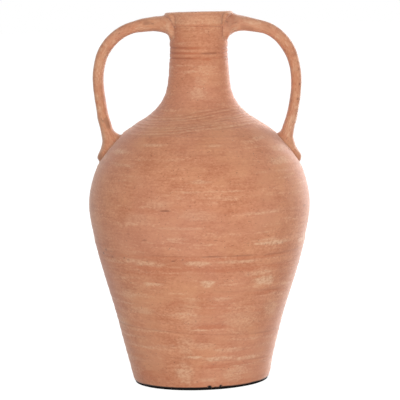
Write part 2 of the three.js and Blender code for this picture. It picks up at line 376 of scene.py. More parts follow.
PALE_PATCHES = [
    (43, 199, 12, 3.2, 0.9), (38, 203.5, 9, 1.4, 0.5), (4, 147.5, 4, 4.5, 0.9),
    (40, 148, 8, 6.5, 0.85), (-29, 145.5, 7, 2, 0.7), (0, 282, 6, 2.5, 0.5),
    (-32, 327, 10, 2, 0.45), (10, 326.5, 5, 1.5, 0.4), (-12, 28, 7, 4, 0.6),
    (-30, 173.5, 9, 3.4, 0.6), (-1, 175.5, 7, 3.4, 0.7), (20, 176.5, 15, 2.2, 0.6),
    (-40, 176, 6, 3, 0.4), (36, 160, 9, 5, 0.35), (-14, 24, 7, 9, 0.6), (2, 62, 9, 5, 0.4),
    (24, 55, 14, 3, 0.4), (-22, 60, 10, 3, 0.3), (-66, 84, 7, 9, 0.35), (52, 108, 8, 12, 0.35),
    (-50, 128, 8, 8, 0.3), (-8, 110, 8, 9, 0.25), (12, 126, 6, 4, 0.3), (55, 305, 12, 5, 0.5),
    (62, 320, 12, 4, 0.5), (48, 334, 8, 2, 0.4), (-60, 316, 12, 4, 0.35), (-2, 392, 16, 8, 0.4),
    (4, 408, 12, 6, 0.3), (12, 425, 20, 4, 0.25),
    (-1, 84.2, 6, 1.1, 0.95), (-6, 46.5, 8, 2, 0.8), (14, 44, 12, 3.4, 0.7),
    (38, 42, 13, 2.5, 0.6), (28, 96, 16, 12, 0.3), (-50, 300, 10, 2, 0.3),
    (-42, 108, 12, 5, 0.35), (30, 26, 10, 8, 0.4), (-8, 66, 8, 3, 0.35), (5, 14, 9, 3, 0.4),
    (33, 240, 12, 2, 0.3), (-10, 222, 14, 2, 0.3), (12, 262, 10, 2, 0.25),
    (-7, 105, 7, 22, 0.32), (-10, 60, 6, 16, 0.36), (-12, 22, 7, 16, 0.45), (27, 92, 9, 22, 0.26),
    (26, 20, 9, 12, 0.35), (-1, 240, 9, 9, 0.28), (-21, 252, 8, 7, 0.3), (-32, 232, 8, 8, 0.22),
]
DARK_SPOTS = [
    (-57, 177.4, 0.8, 1.1, 0.7), (-54, 176, 0.4, 0.6, 0.5), (-46, 178.4, 0.5, 0.8, 0.55),
    (-43, 176.2, 0.8, 0.7, 0.5), (-30, 176.8, 0.5, 0.7, 0.4), (-14.5, 178.5, 0.7, 0.9, 0.75),
    (-13, 180, 0.4, 0.6, 0.5), (-9.5, 180.4, 0.5, 0.7, 0.65), (-4, 177.6, 0.4, 0.6, 0.5),
    (-67, 180, 0.8, 1.4, 0.75), (-62, 186, 0.6, 1, 0.7), (-30, 205, 1, 0.7, 0.4),
    (-18, 244.6, 2.6, 0.9, 0.6), (-40, 212, 0.8, 0.7, 0.4), (8, 206, 0.5, 0.7, 0.5),
    (24, 184.5, 7, 0.7, 0.3), (6, 184.3, 5, 0.8, 0.4), (45, 183, 6, 0.7, 0.3),
    # The last three spots are painted shade in the chips at the foot, standing also for the black
    # pad seen through them.
    (6.5, 4.6, 1.9, 2.0, 1), (15.8, 4.4, 1.3, 1.9, 1), (11, 3.6, 0.8, 1, 1),
]
# Where the painted shade in the neck's three strong lines is darkest, as angle ranges at the left
# and at the right.
NECK_LINE_SHADE = [((-70, -30), (70, 90)), ((-75, -48), (8, 34)), ((-60, -20), (62, 90))]
RED_BANDS = [
    (0, 166.5, 62, 4.2, 0.4), (-30, 160, 30, 3, 0.3), (45, 131, 14, 3, 0.35), (0, 181, 70, 4, 0.3),
    (5, 88, 16, 3.4, 0.4), (20, 33, 22, 3.5, 0.4), (-75, 150, 12, 60, 0.45),
    (-60, 18, 30, 9, 0.5), (0, 118, 20, 14, 0.2), (-8, 246, 40, 5, 0.2), (-50, 465, 26, 12, 0.35),
    (15, 437, 10, 2.4, 0.6), (-45, 425, 25, 14, 0.25), (20, 8, 60, 4, 0.3),
]


def patches(angle, z, spots, seed, core=0.45):
    """The strongest of several soft patches, broken up by noise at their edges. They are whole
    out to `core` of their size."""
    u, v = angle / (2 * math.pi), z / TOTAL_HEIGHT
    tear = ripple(u, v, 90, 150, seed) * 0.5 + ripple(u, v, 200, 330, seed + 1) * 0.5
    best = np.zeros_like(z)
    for place, height, wide, tall, strength in spots:
        away = (np.degrees(angle) - place + 180) % 360 - 180
        size = np.sqrt((away / wide) ** 2 + ((z / MM - height) / tall) ** 2)
        best = np.maximum(best, strength * (1 - smoothstep(core, 1.35, size + 0.45 * tear)))
    return best


def scattered(seed, count, sizes, strengths):
    """Patches strewn over the sides and back, which the placed ones leave bare."""
    rng = np.random.default_rng(seed)
    spots = []
    for _ in range(count):
        place = rng.uniform(68, 292)
        height = rng.uniform(10, 345)
        wide = rng.uniform(*sizes[0])
        tall = rng.uniform(*sizes[1])
        spots.append((place, height, wide, tall, rng.uniform(*strengths)))
    return spots


PALE_AROUND = PALE_PATCHES + scattered(5, 34, ((4, 14), (1.2, 4.5)), (0.35, 0.85))
DARK_AROUND = DARK_SPOTS + scattered(6, 18, ((0.6, 2.4), (0.6, 1.1)), (0.25, 0.6))
RED_AROUND = RED_BANDS + scattered(7, 10, ((15, 50), (2.5, 5)), (0.3, 0.7))


def vessel_stains_and_painted_light(angle, z):
    """The pale, dark and red attributes of the vessel's outside, with painted shade in its lines,
    creases and seam and a painted highlight on the shoulder's crests.
    """
    pale = patches(angle, z, PALE_AROUND, 81)
    dark = patches(angle, z, DARK_AROUND, 83, 0.9)
    red = patches(angle, z, RED_AROUND, 85)
    scored, crest = shoulder_lines(angle, z)
    c = creases(angle, z)
    # Painted highlight along the crest above each scored shoulder line.
    pale = np.maximum(pale, 0.55 * crest)
    # Painted shade in the scored shoulder lines, the creases and the line under the collar.
    for share, line in (
        (0.18, scored), (0.14, c["upper"]), (0.08, c["lower"]), (0.2, c["foot"]), (0.2, c["band"]),
        (0.15, c["belt"]), (0.05, collar_line(angle, z)),
    ):
        dark = np.maximum(dark, share * line)
    flank, seam = collar_flanks(angle, z)
    # Painted shade in the seam at the edge of the collar's flanks, stronger on the right.
    dark = np.maximum(dark, np.where(np.sin(angle) > 0, 0.4, 0.22) * seam)
    pale = np.maximum(pale, 0.3 * flank)
    pale = np.maximum(pale, 0.35 * smoothstep(482 * MM, 486 * MM, z))
    left_half = 0.5 + angle_window(angle, -90, -8, 20)
    # Painted shade in the neck's three strong lines, darkest in those angle ranges.
    for k, (left, right) in enumerate(NECK_LINE_SHADE):
        line_shade = 0.12 + 0.5 * angle_window(angle, *left, 12) + angle_window(angle, *right, 8)
        dark = np.maximum(dark, 0.42 * line_shade * neck_line(angle, z, k, 1.3))
        red = np.maximum(red, 0.45 * bell(z, NECK_LINES[k][0] * MM, 1.8 * MM) * left_half)
    # The pad's glue has blackened the clay's lowest edge, unevenly.
    u = angle / (2 * math.pi)
    glue = PAD_THICKNESS + (1.0 + 0.5 * waver(u, 0.5, 37, 93)) * MM
    dark = np.maximum(dark, 1 - smoothstep(glue - 0.3 * MM, glue + 0.5 * MM, z))
    return pale, dark, red


# ---- mesh making -------------------------------------------------------------

def new_piece(name, points, faces, attributes, material):
    """A mesh object from pot coordinates, put in the row frame, standing for its CAD node."""
    mesh = bpy.data.meshes.new(name)
    mesh.from_pydata(leaned(points).tolist(), [], faces)
    for key, values in attributes.items():
        values = np.asarray(values, np.float32)
        kind = "FLOAT_VECTOR" if values.ndim == 2 else "FLOAT"
        field = "vector" if values.ndim == 2 else "value"
        mesh.attributes.new(key, kind, "POINT").data.foreach_set(field, values.ravel())
    mesh.shade_smooth()
    mesh.set_sharp_from_angle(angle=CORNER_ANGLE)
    mesh.materials.append(material)
    mesh.update()
    piece = bpy.data.objects.new(name + "_fine", mesh)
    bpy.context.scene.collection.objects.link(piece)
    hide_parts(name)
    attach(piece, "root")


def grid_faces(rings, around, close):
    """Quads between rings of `around` points; the last ring joins the first if close."""
    faces = []
    for ring in range(rings if close else rings - 1):
        after = (ring + 1) % rings
        for i in range(around):
            j = (i + 1) % around
            low, high = ring * around, after * around
            faces.append((low + i, low + j, high + j, high + i))
    return faces


def with_poles(points, faces, around, low, high):
    """Closes a turned surface by fans to a point on the axis at each end. Adds the fans to faces
    and returns all the points."""
    first, last = len(points), len(points) + 1
    top_ring = len(points) - around
    for i in range(around):
        j = (i + 1) % around
        faces.append((first, j, i))
        faces.append((last, top_ring + i, top_ring + j))
    return np.vstack([points, [0, 0, low], [0, 0, high]])


def turned(section, segments):
    """Turns a section's outline of (radius, height) rows, with relief on its outside and inside.
    Returns points, faces, angle and the outside flag. An outline that starts at radius 0 has a
    pole at each end."""
    outline, outer, outline_normals = section
    closed = outline[0, 0] > 1e-6
    kept = slice(None) if closed else slice(1, -1)
    rows, flags, normals = outline[kept], outer[kept], outline_normals[kept]
    angle = np.linspace(-math.pi, math.pi, segments, endpoint=False)
    a, r = np.meshgrid(angle, rows[:, 0])
    z = np.repeat(rows[:, 1:2], segments, axis=1)
    out = np.repeat(flags[:, None], segments, axis=1)
    rise = np.where(out > 0.5, relief(a, z), 0) + np.where(out < -0.5, inside_relief(a, z), 0)
    r = r + rise * normals[:, 0:1]
    h = z + rise * normals[:, 1:2]
    points = np.column_stack([(r * np.sin(a)).ravel(), (-r * np.cos(a)).ravel(), h.ravel()])
    faces = grid_faces(len(rows), segments, closed)
    angles, flags_all = a.ravel(), out.ravel()
    if not closed:
        points = with_poles(points, faces, segments, outline[0, 1], outline[-1, 1])
        angles = np.append(angles, [0, 0])
        flags_all = np.append(flags_all, [0, 0])
    return points, faces, angles, flags_all


def wall_between(low, high):
    """Which of WALL's points lie between two heights, with both ends."""
    return (WALL[:, 1] >= low - 1e-9) & (WALL[:, 1] <= high + 1e-9)


def wall_run(low, high, step):
    """Evenly stepped outside points of the wall between two heights."""
    return stepped(WALL[wall_between(low, high)], step)


def inner_run(low, high):
    """The inside of the wall between the same heights of the outside, from the top down."""
    keep = wall_between(low, high)
    wall = BODY_WALL + (NECK_WALL - BODY_WALL) * smoothstep(BELLY_JOINT, NECK_JOINT, WALL[keep, 1])
    return stepped((WALL[keep] - WALL_NORMALS[keep] * wall[:, None])[::-1], INSIDE_STEP)


# ---- materials ---------------------------------------------------------------

def srgb(red, green, blue):
    """A display colour from 0 to 255 as linear RGBA."""
    parts = [c / 255 for c in (red, green, blue)]
    linear = [c / 12.92 if c <= 0.04045 else ((c + 0.055) / 1.055) ** 2.4 for c in parts]
    return (*linear, 1)


CLAY_DEEP = srgb(188, 118, 84)
CLAY_LIGHT = srgb(216, 152, 116)
CLAY_PINK = srgb(206, 142, 116)
CLAY_OCHRE = srgb(212, 150, 112)
CLAY_RED = srgb(186, 104, 70)
CLAY_DARK = srgb(96, 54, 42)
LIME_AND_HIGHLIGHT = srgb(230, 192, 158)
GLUE_AND_SHADE_BLACK = srgb(24, 16, 13)
PAD_BLACK = srgb(8, 5, 4)
PAD_FIBRE = srgb(20, 15, 12)
PAD_DUST = srgb(44, 34, 28)
SHEEN_TINT = (1.0, 0.93, 0.9, 1)


class Nodes:
    """A short way to write the node tree of a material or a world."""

    def __init__(self, owner, output="ShaderNodeOutputMaterial"):
        owner.use_nodes = True
        self.tree = owner.node_tree
        self.tree.nodes.clear()
        self.surface = self.add(output).inputs["Surface"]

    def add(self, kind, **settings):
        node = self.tree.nodes.new(kind)
        for key, value in settings.items():
            setattr(node, key, value)
        return node

    def put(self, socket, value):
        if isinstance(value, bpy.types.NodeSocket):
            self.tree.links.new(value, socket)
        else:
            socket.default_value = value

    def maths(self, operation, a, b=0.0, c=0.0, clamp=False):
        node = self.add("ShaderNodeMath", operation=operation, use_clamp=clamp)
        for socket, value in zip(node.inputs, (a, b, c)):
            self.put(socket, value)
        return node.outputs[0]

    def mix(self, factor, a, b):
        """Colour a at factor 0, colour b at factor 1."""
        node = self.add("ShaderNodeMix", data_type="RGBA")
        for key, value in ((0, factor), (6, a), (7, b)):
            self.put(node.inputs[key], value)
        return node.outputs[2]

    def attribute(self, name, output="Fac"):
        return self.add("ShaderNodeAttribute", attribute_name=name).outputs[output]

    def stretched(self, vector, scale):
        """The vector scaled along each axis, so that noise is squeezed along the larger ones."""
        node = self.add("ShaderNodeMapping")
        self.put(node.inputs["Vector"], vector)
        node.inputs["Scale"].default_value = scale
        return node.outputs[0]

    def noise(self, vector, scale=1.0, detail=2.0, roughness=0.5):
        node = self.add("ShaderNodeTexNoise")
        self.put(node.inputs["Vector"], vector)
        node.inputs["Scale"].default_value = scale
        node.inputs["Detail"].default_value = detail
        node.inputs["Roughness"].default_value = roughness
        return node.outputs[0]

    def ranged(self, value, low, high, to_low=0.0, to_high=1.0, kind="SMOOTHSTEP"):
        """The value's range from low to high carried over to to_low and to_high, and held there."""
        node = self.add("ShaderNodeMapRange", interpolation_type=kind)
        for socket, number in zip(node.inputs, (value, low, high, to_low, to_high)):
            self.put(socket, number)
        return node.outputs[0]

    def blended(self, factor, first, second):
        """Two shaders mixed into the output: first at factor 0, second at factor 1."""
        node = self.add("ShaderNodeMixShader")
        for socket, value in zip(node.inputs, (factor, first.outputs[0], second.outputs[0])):
            self.put(socket, value)
        self.put(self.surface, node.outputs[0])

    def bump(self, height, strength, distance):
        node = self.add("ShaderNodeBump")
        node.inputs["Strength"].default_value = strength
        node.inputs["Distance"].default_value = distance
        self.put(node.inputs["Height"], height)
        return node.outputs[0]

    def principled(self, **sockets):
        """The main shader, put into the output. Underscores in a name stand for spaces."""
        node = self.add("ShaderNodeBsdfPrincipled")
        for key, value in sockets.items():
            self.put(node.inputs[key.replace("_", " ")], value)
        self.put(self.surface, node.outputs[0])


def terracotta_material():
    """Fired clay: mottled, streaked round the pot, with lime bloom, stains and small pits, and with
    painted shade in its pits, lines, creases, joints and strap edges and painted highlights on its
    crests and straps.
    """
    material = bpy.data.materials.new("terracotta")
    n = Nodes(material)
    grain = n.attribute("grain", "Vector")
    pale, dark, red = (n.attribute(k) for k in ("pale", "dark", "red"))

    broad = n.noise(grain, 9, 2)
    mottle = n.noise(n.stretched(grain, (1, 1, 1.8)), 34, 3, 0.6)
    speckle = n.noise(n.stretched(grain, (1, 1, 1.6)), 260, 3, 0.65)
    streak = n.noise(n.stretched(grain, (16, 16, 170)), 1, 3, 0.6)
    fine_streak = n.noise(n.stretched(grain, (60, 60, 560)), 1, 2, 0.6)

    tone = n.maths("MULTIPLY_ADD", mottle, 0.6, n.maths("MULTIPLY", streak, 0.3))
    tone = n.maths("MULTIPLY_ADD", fine_streak, 0.25, tone)
    tone = n.maths("MULTIPLY_ADD", speckle, 0.75, tone)
    tone = n.ranged(tone, 0.66, 1.24)
    colour = n.mix(tone, CLAY_DEEP, CLAY_LIGHT)
    cloud = n.noise(n.stretched(grain, (1, 1, 1.4)), 21, 3, 0.6)
    colour = n.mix(n.ranged(cloud, 0.48, 0.66, 0, 0.6), colour, CLAY_OCHRE)
    colour = n.mix(n.ranged(broad, 0.42, 0.7, 0, 0.4), colour, CLAY_PINK)
    reddened = n.maths("MULTIPLY", red, n.ranged(mottle, 0.3, 0.6, 0.5, 1.0))
    colour = n.mix(reddened, colour, CLAY_RED)
    # Thin lime bloom lying in streaks all over, and thicker where the patches are. The pale
    # attribute also carries painted highlights on the shoulder's crests and painted light on the
    # straps.
    bloom = n.ranged(n.maths("ADD", streak, n.maths("MULTIPLY", speckle, 0.6)), 0.86, 1.12, 0, 0.35)
    colour = n.mix(bloom, colour, LIME_AND_HIGHLIGHT)
    lime_and_highlight = n.maths("MULTIPLY", pale, n.ranged(speckle, 0.36, 0.62, 0.35, 1.0), clamp=True)
    colour = n.mix(n.maths("MULTIPLY", lime_and_highlight, 0.8), colour, LIME_AND_HIGHLIGHT)
    # The dark attribute holds real stains and painted shade in the lines, creases, joints and strap
    # edges.
    stain_and_shade = n.maths("MULTIPLY", dark, n.ranged(speckle, 0.3, 0.6, 0.6, 1.0), clamp=True)
    colour = n.mix(stain_and_shade, colour, CLAY_DARK)
    # Near black where dark is strongest: the glue line at the clay's lowest edge, and painted shade
    # in the chips.
    colour = n.mix(n.ranged(dark, 0.84, 0.97), colour, GLUE_AND_SHADE_BLACK)
    # Small pits: dips in the bump, also darkened as painted shade in them.
    pits = n.ranged(n.noise(n.stretched(grain, (1, 1, 1.5)), 420, 1), 0.69, 0.76, 0, 0.45)
    colour = n.mix(pits, colour, CLAY_DARK)

    height = n.maths("MULTIPLY_ADD", fine_streak, 0.7, n.maths("MULTIPLY", speckle, 0.6))
    height = n.maths("SUBTRACT", height, n.maths("MULTIPLY", pits, 0.8))
    n.principled(
        Base_Color=colour, Roughness=n.ranged(mottle, 0.3, 0.7, 0.78, 0.94),
        Normal=n.bump(height, 0.55, 0.6 * MM), IOR=1.4, Sheen_Weight=0.45, Sheen_Roughness=0.4,
        Sheen_Tint=SHEEN_TINT,
    )
    return material


def pad_material():
    """Black felt or rubber, slightly fibrous."""
    material = bpy.data.materials.new("pad")
    n = Nodes(material)
    grain = n.attribute("grain", "Vector")
    fibres = n.noise(n.stretched(grain, (1, 1, 2.5)), 900, 3, 0.7)
    dust = n.noise(grain, 120, 2)
    colour = n.mix(n.ranged(fibres, 0.35, 0.7), PAD_BLACK, PAD_FIBRE)
    colour = n.mix(n.ranged(dust, 0.6, 0.8, 0, 0.25), colour, PAD_DUST)
    n.principled(
        Base_Color=colour, Roughness=n.ranged(fibres, 0.3, 0.7, 0.85, 1.0),
        Normal=n.bump(fibres, 0.6, 0.4 * MM), Specular_IOR_Level=0.2,
    )
    return material


TERRACOTTA = terracotta_material()
PAD = pad_material()


# ---- straps and coils --------------------------------------------------------

def oval_rings(near, far, half_width, side):
    """Superellipse rings across the handle's plane, one for each row of near and far edges, with
    each ring point's place along the handle's plane and across it, from -1 to 1."""
    angle = np.linspace(0, 2 * math.pi, OVAL_POINTS, endpoint=False)
    along = np.sign(np.cos(angle)) * np.abs(np.cos(angle)) ** OVAL_POWER
    across = np.sign(np.sin(angle)) * np.abs(np.sin(angle)) ** OVAL_POWER
    middle, half = (near + far) / 2, (far - near) / 2
    reach = middle[:, 0:1] + half[:, 0:1] * along
    height = middle[:, 1:2] + half[:, 1:2] * along
    y = side * half_width[:, None] * across
    return np.stack([side * reach, y, height], axis=2), along, across


def section_places(rings, along, across, share):
    """along, across and share for every ring point, and the turn round the section as u."""
    shape = rings.shape[:2]
    along, across = np.broadcast_to(along, shape), np.broadcast_to(across, shape)
    u = np.arctan2(across, along) / (2 * math.pi)
    return along, across, np.broadcast_to(share[:, None], shape), u


def swollen(rings, rise):
    """Rings with every point moved by its rise, in metres, away from its ring's middle."""
    outward = rings - rings.mean(axis=1, keepdims=True)
    outward /= np.linalg.norm(outward, axis=2, keepdims=True)
    return rings + outward * rise[:, :, None]


def outside_distance(points):
    """Signed distance from the vessel's outside, positive outwards, with the nearest wall
    point's normal, both in the (radius, height) plane."""
    flat = np.column_stack([np.hypot(points[:, 0], points[:, 1]), points[:, 2]])
    line, normals = OUTSIDE[::4], OUTSIDE_NORMALS[::4]
    nearest = np.empty(len(flat), int)
    for start in range(0, len(flat), BATCH):
        gap = flat[start:start + BATCH, None, :] - line[None]
        nearest[start:start + BATCH] = (gap**2).sum(2).argmin(1)
    normal = normals[nearest]
    return ((flat - line[nearest]) * normal).sum(1), normal


def sunk(points, smear=0.0):
    """Points held to no deeper than SUNK under the vessel's outside. Those less than `smear`
    outside it are pressed down towards it, so that the clay runs out thinly onto the vessel."""
    distance, normal = outside_distance(points)
    wanted = np.maximum(distance, -SUNK)
    if smear > 0:
        share = np.clip(distance / smear, 0, 1)
        wanted = np.where(distance > 0, distance * share**0.8, wanted)
    change = wanted - distance
    radius = np.hypot(points[:, 0], points[:, 1])
    scale = 1 + change * normal[:, 0] / np.maximum(radius, 1e-6)
    moved = points.copy()
    moved[:, 0] *= scale
    moved[:, 1] *= scale
    moved[:, 2] += change * normal[:, 1]
    return moved, wanted


def loft_faces(rings):
    """Side quads and two end caps of a loft. The ovals run the other way round from a turned
    ring, so every face is reversed to face out."""
    faces = grid_faces(rings, OVAL_POINTS, False)
    faces.append(tuple(range(OVAL_POINTS))[::-1])
    faces.append(tuple((rings - 1) * OVAL_POINTS + i for i in range(OVAL_POINTS)))
    return [face[::-1] for face in faces]


def loft_piece(name, rings, grain, extra):
    """A finished strap or coil from its rings. Returns its points, in pot coordinates, and its
    faces."""
    points, distance = sunk(rings.reshape(-1, 3), extra["smear"])
    # Painted shade in the crook where the strap or coil meets the vessel's wall.
    painted_joint_shade = bell(distance, 0, 1.6 * MM)
    attributes = {
        "grain": grain.reshape(-1, 3),
        "pale": extra["pale"].ravel(),
        "dark": np.maximum(extra["dark"].ravel(), extra["joint"] * painted_joint_shade),
        "red": extra["red"].ravel(),
    }
    faces = loft_faces(len(rings))
    new_piece(name, points, faces, attributes, TERRACOTTA)
    return points, faces


def strap_thickness(sizes, spine):
    """Thickness in mm at each spine point, as the CAD part has it."""
    reach, height = spine[:, 0] / MM, spine[:, 1] / MM
    up = sizes["side"] + (sizes["bend"] - sizes["side"]) * smoothstep(*BEND_HEIGHTS, height)
    at_root = sizes["root"] + (up - sizes["root"]) * smoothstep(*ROOT_REACHES, reach)
    return np.where(height > BEND_HEIGHTS[1], at_root, up)


def strap(name, spine_points, sizes, side, seed):
    """A pulled strap handle: oval section, shallow finger grooves, slight hand-made waver.
    Returns its middle line, the line's normals and half its thickness at each point."""
    spine = stepped(dense(np.array(spine_points) * MM), STRAP_STEP)
    spine = spine[spine[:, 0] > STRAP_START]
    normal = right_normals(spine)
    share = np.linspace(0, 1, len(spine))
    half_turn = share * 0.5  # a ripple meets itself after a whole turn, so only half is used
    half = strap_thickness(sizes, spine) / 2 * MM
    half = half + 0.25 * MM * waver(half_turn, 0.5, 23, seed)
    sway = 0.35 * MM * waver(half_turn, 0.2, 15, seed + 1)
    near = spine + normal * (half + sway)[:, None]
    far = spine - normal * (half - sway)[:, None]
    width = (STRAP_HALF_WIDTH * MM) + 0.45 * MM * waver(half_turn, 0.7, 13, seed + 2)
    rings, along, across = oval_rings(near, far, width, side)
    along, across, rows, u = section_places(rings, along, across, share)
    # Shallow lengthwise grooves from the pulling fingers, on the broad and the narrow faces.
    groove = 0.5 * bell(across, 0.0, 0.28) * np.abs(along) ** 3
    narrow = bell(along, 0.32, 0.12) + bell(along, -0.3, 0.12)
    groove = groove + 0.3 * narrow * np.abs(across) ** 3
    rough = 0.14 * ripple(u, rows, 22, 9, seed + 3) + 0.1 * ripple(u, rows, 14, 70, seed + 4)
    rings = swollen(rings, (rough - groove) * MM)
    grain = strap_grain(rings, spine, side)
    # Painted shade along the strap's rounded near and far edges.
    painted_edge_shade = 0.14 * bell(np.abs(along), 1.0, 0.12)
    extra = {
        # The strap's even paleness is partly painted light, for the light it catches from behind
        # and the side; the blotches are its own colour.
        "pale": 0.22 + 0.3 * smoothstep(-0.2, 0.8, ripple(u, rows, 6, 30, seed + 5)),
        "dark": painted_edge_shade + 0.16 * smoothstep(0.2, 0.9, ripple(u, rows, 5, 26, seed + 6)),
        "red": 0.1 + 0.2 * ripple(u, rows, 4, 12, seed + 7),
        "joint": 0.3,
        "smear": 0.0,
    }
    loft_piece(name, rings, grain, extra)
    return spine, normal, half


def strap_grain(rings, line, side):
    """Streak coordinates for a strap and the coils on it: along the strap, then across it. The
    two sides are GRAIN_GAP from the vessel's own coordinates, so that no pattern repeats."""
    flat = rings.reshape(-1, 3)
    plane = np.column_stack([side * flat[:, 0], flat[:, 2]])
    gap = plane[:, None, :] - line[None, ::3]
    nearest = (gap**2).sum(2).argmin(1) * 3
    away = plane - line[nearest]
    offset = (away * right_normals(line)[nearest]).sum(1)
    along = lengths(line)[nearest] + (away * np.gradient(line, axis=0)[nearest]).sum(1)
    grain = np.column_stack([along + side * GRAIN_GAP, 0.3 * flat[:, 1], flat[:, 1] + offset])
    return grain.reshape(rings.shape)


def first_true(flags):
    """The index of the first true flag."""
    return int(np.argmax(flags))


def feather_rows(line, normal, half, picks):
    """Coil rows over the strap itself: for each (station, proud), the strap's edges moved out."""
    rows = []
    for station, proud in picks:
        reach = half[station] + proud * MM
        near = (line[station] + normal[station] * reach) / MM
        far = (line[station] - normal[station] * reach) / MM
        rows.append((near, far, STRAP_HALF_WIDTH + proud))
    return rows


def coil(name, rows, side, seed, looks, line):
    """A coil of clay pressed round a root of the strap along line: a loft with thumb marks and a
    drawn-out thin end. Returns its points and faces."""
    table = np.array([[*near, *far, half] for near, far, half in rows]) * MM
    table = stepped(dense(table), COIL_STEP)
    rings, along, across = oval_rings(table[:, 0:2], table[:, 2:4], table[:, 4], side)
    _, _, share, u = section_places(rings, along, across, np.linspace(0, 1, len(table)))
    thumb = 0.45 * ripple(u, share, 7, 4, seed) + 0.2 * ripple(u, share, 15, 9, seed + 1)
    rough = 0.12 * ripple(u, share, 40, 30, seed + 2)
    fade = smoothstep(0, 0.2, share) * smoothstep(0, 0.2, 1 - share)
    rings = swollen(rings, (thumb * fade + rough) * MM)
    grain = strap_grain(rings, line, side)
    blotch = ripple(u, share, 9, 6, seed + 3)
    extra = {
        "pale": 0.24 + looks["pale"] * smoothstep(0.0, 0.8, blotch),
        "dark": looks["dark"] * smoothstep(0.1, 0.8, -blotch) * 0.6,
        "red": 0.25 * smoothstep(-0.2, 0.6, blotch),
        "joint": looks["joint"],
        "smear": looks["smear"],
    }
    return loft_piece(name, rings, grain, extra)


def handle(word, side, spine, sizes, lower, dark, pale):
    """One strap with its two coils. Returns the points and faces of both coils."""
    seed = 200 + 50 * side
    line, normal, half = strap(f"handle_{word}", spine, sizes, side, seed)
    reach, height = line[:, 0], line[:, 1]
    # Where the coils thin out over the strap. The last row is buried, the one next to it proud.
    upper_picks = [(first_true(reach > 78 * MM), PROUD), (first_true(reach > 90 * MM), BURIED)]
    lower_picks = [(first_true(height < 370 * MM), BURIED), (first_true(height < 360 * MM), PROUD)]
    upper_rows = [*COIL_UPPER, *feather_rows(line, normal, half, upper_picks)]
    lower_rows = [*feather_rows(line, normal, half, lower_picks), *lower]
    upper_looks = {"dark": dark, "pale": pale, "joint": 0.1, "smear": (7 - 1.5 * side) * MM}
    lower_looks = {"dark": dark, "pale": pale, "joint": 0.3, "smear": (2.6 - 1.2 * side) * MM}
    return [
        coil(f"root_coil_upper_{word}", upper_rows, side, seed + 10, upper_looks, line),
        coil(f"root_coil_lower_{word}", lower_rows, side, seed + 20, lower_looks, line),
    ]


pressed = [
    *handle("left", -1, SPINE_LEFT, STRAP_LEFT, COIL_LOWER_LEFT, 0.7, 0.35),
    *handle("right", 1, SPINE_RIGHT, STRAP_RIGHT, COIL_LOWER_RIGHT, 0.35, 0.5),
]


# ---- the vessel's pieces -----------------------------------------------------

def root_distance(points):
    """Distance from each pot point to the nearest coil, or FAR where no coil is near."""
    away = np.full(len(points), FAR)
    for coil_points, coil_faces in pressed:
        low, high = coil_points.min(0) - SEARCH_MARGIN, coil_points.max(0) + SEARCH_MARGIN
        close = np.flatnonzero(((points > low) & (points < high)).all(1))
        tree = BVHTree.FromPolygons(coil_points.tolist(), coil_faces)
        for i in close:
            away[i] = min(away[i], tree.find_nearest(points[i])[3])
    return away


def vessel_piece(name, section, segments):
    """One thrown piece, marked where the coils are pressed onto it: a groove along each coil's
    edge, and a slight swell beyond the groove at the lower roots."""
    points, faces, angle, outer = turned(section, segments)
    z = points[:, 2]
    on_outside = outer > 0.5
    away = np.where(on_outside, root_distance(np.where(on_outside[:, None], points, 0)), FAR)
    low_root = 1 - smoothstep(380 * MM, 420 * MM, z)
    groove = bell(away, 0, 1.5 * MM)
    swell = bell(away, 4 * MM, 2 * MM) * low_root
    normal = outside_distance(points)[1]
    push = (-(0.25 + 0.35 * low_root) * groove + 0.25 * swell) * MM * on_outside
    radius = np.maximum(np.hypot(points[:, 0], points[:, 1]), 1e-6)
    points[:, 0] += push * normal[:, 0] * points[:, 0] / radius
    points[:, 1] += push * normal[:, 0] * points[:, 1] / radius
    points[:, 2] += push * normal[:, 1]
    pale, dark, red = vessel_stains_and_painted_light(angle, z)
    right_side = points[:, 0] > 0
    shade = np.where(right_side, 0.06 + 0.4 * low_root, 0.02 + 0.12 * low_root)
    rubbed = np.where(right_side, 0.6, 0.4) * low_root
    dark = np.maximum(dark, shade * groove)
    pale = np.maximum(pale, rubbed * bell(away, 4.5 * MM, 2.2 * MM))
    inside = outer < -0.5
    attributes = {
        "grain": points.copy(),
        "pale": np.where(inside, 0.1, pale),
        "dark": np.where(inside, 0.15, dark),
        "red": np.where(inside, 0.3, red),
    }
    new_piece(name, points, faces, attributes, TERRACOTTA)


def joined(*runs):
    """A section from (points, flag) runs; flag is 1 outside, -1 inside and 0 underneath. Every
    run has its own normals, so that neighbouring pieces stay closed along their joint."""
    rows = np.vstack([run for run, _ in runs])
    flags = np.concatenate([np.full(len(run), flag, float) for run, flag in runs])
    normals = np.vstack([
        right_normals(run) if len(run) > 1 else np.zeros((1, 2)) for run, _ in runs
    ])
    return rows, flags, normals


